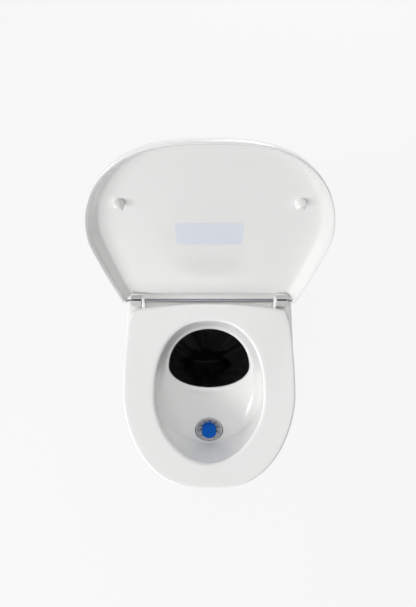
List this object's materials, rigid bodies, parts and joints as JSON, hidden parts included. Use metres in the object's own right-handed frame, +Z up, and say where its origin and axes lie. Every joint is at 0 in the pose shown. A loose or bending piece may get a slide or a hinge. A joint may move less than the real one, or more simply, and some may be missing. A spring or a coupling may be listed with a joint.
{
  "type": "urine-diverting dry toilet",
  "caption": "Floor-standing dry toilet: tub with a lift-off top, urine-diverting bowl, hinged seat and domed lid, solids bucket, fan-drawn vent and rear outlets.",
  "frame": {"origin": "centre of the footprint at floor level, on the middle plane; the depth runs from the seat's front tip to the vent spigot's end", "axes": "+Z up, front towards -Y, +X to the right seen from the front"},
  "size_m": [0.411, 0.606, 0.8337],
  "materials": {
    "white_plastic": "smooth moulded, glossy",
    "grey_plastic": "moulded, satin",
    "black_plastic": "moulded, satin",
    "black_film": "thin film, slightly glossy",
    "rubber": "matte",
    "stainless_steel": "polished",
    "blue_tablet": "pressed granules, matte"
  },
  "bodies": {
    "base": {"lower_casing": "white_plastic", "rubber_feet": "rubber", "casing_seal": "rubber", "vent_outlet": "white_plastic", "fan_frame": "black_plastic", "fan_motor": "stainless_steel", "fan_screws": "stainless_steel", "insect_screen": "grey_plastic", "power_inlet": "black_plastic", "inlet_nut": "stainless_steel", "urine_funnel": "grey_plastic", "urine_downpipe": "grey_plastic", "urine_elbow": "grey_plastic", "urine_pipe": "grey_plastic", "urine_outlet": "grey_plastic", "outlet_nut": "grey_plastic", "outlet_seal": "rubber"},
    "fan": {"fan_rotor": "black_plastic"},
    "top_unit": {"upper_casing": "white_plastic", "bowl_insert": "white_plastic", "hinge_pin": "stainless_steel", "hinge_sleeve": "stainless_steel", "hinge_bushes": "grey_plastic"},
    "seat": {"seat_ring": "white_plastic", "seat_buffers": "rubber"},
    "lid": {"lid_shell": "white_plastic", "lid_bumpers": "white_plastic"},
    "container": {"solids_bucket": "grey_plastic", "liner_bag": "black_film"},
    "bail": {"bail_wire": "stainless_steel", "bail_grip": "grey_plastic"},
    "strainer": {"drain_strainer": "stainless_steel"},
    "tablet": {"deodorant_tablet": "blue_tablet"}
  },
  "joints": [
    {"name": "lid_hinge", "type": "hinge", "parent": "top_unit", "child": "lid", "pos_m": [0, 0.129, 0.418], "axis": [-1, 0, 0], "range_deg": [-109, 0]},
    {"name": "seat_hinge", "type": "hinge", "parent": "top_unit", "child": "seat", "pos_m": [0, 0.129, 0.418], "axis": [-1, 0, 0], "range_deg": [0, 100]},
    {"name": "top_lift", "type": "slide", "parent": "base", "child": "top_unit", "axis": [0, 0, 1], "range_m": [0, 0.6]},
    {"name": "container_lift", "type": "slide", "parent": "base", "child": "container", "axis": [0, 0, 1], "range_m": [0, 0.3]},
    {"name": "bail_swing", "type": "hinge", "parent": "container", "child": "bail", "pos_m": [0, 0.004, 0.307], "axis": [-1, 0, 0], "range_deg": [0, 118.43]},
    {"name": "fan_spin", "type": "hinge", "parent": "base", "child": "fan", "pos_m": [0, 0.251, 0.265], "axis": [0, 1, 0], "continuous": true},
    {"name": "strainer_lift", "type": "slide", "parent": "top_unit", "child": "strainer", "axis": [0, 0, 1], "range_m": [0, 0.16]},
    {"name": "tablet_lift", "type": "slide", "parent": "strainer", "child": "tablet", "axis": [0, 0, 1], "range_m": [0, 0.06]}
  ],
  "couplings": [
    {"joint": "container_lift", "follows": "top_lift", "ratio": 0.5},
    {"joint": "bail_swing", "follows": "top_lift", "rad_per_m": 3.4449}
  ]
}
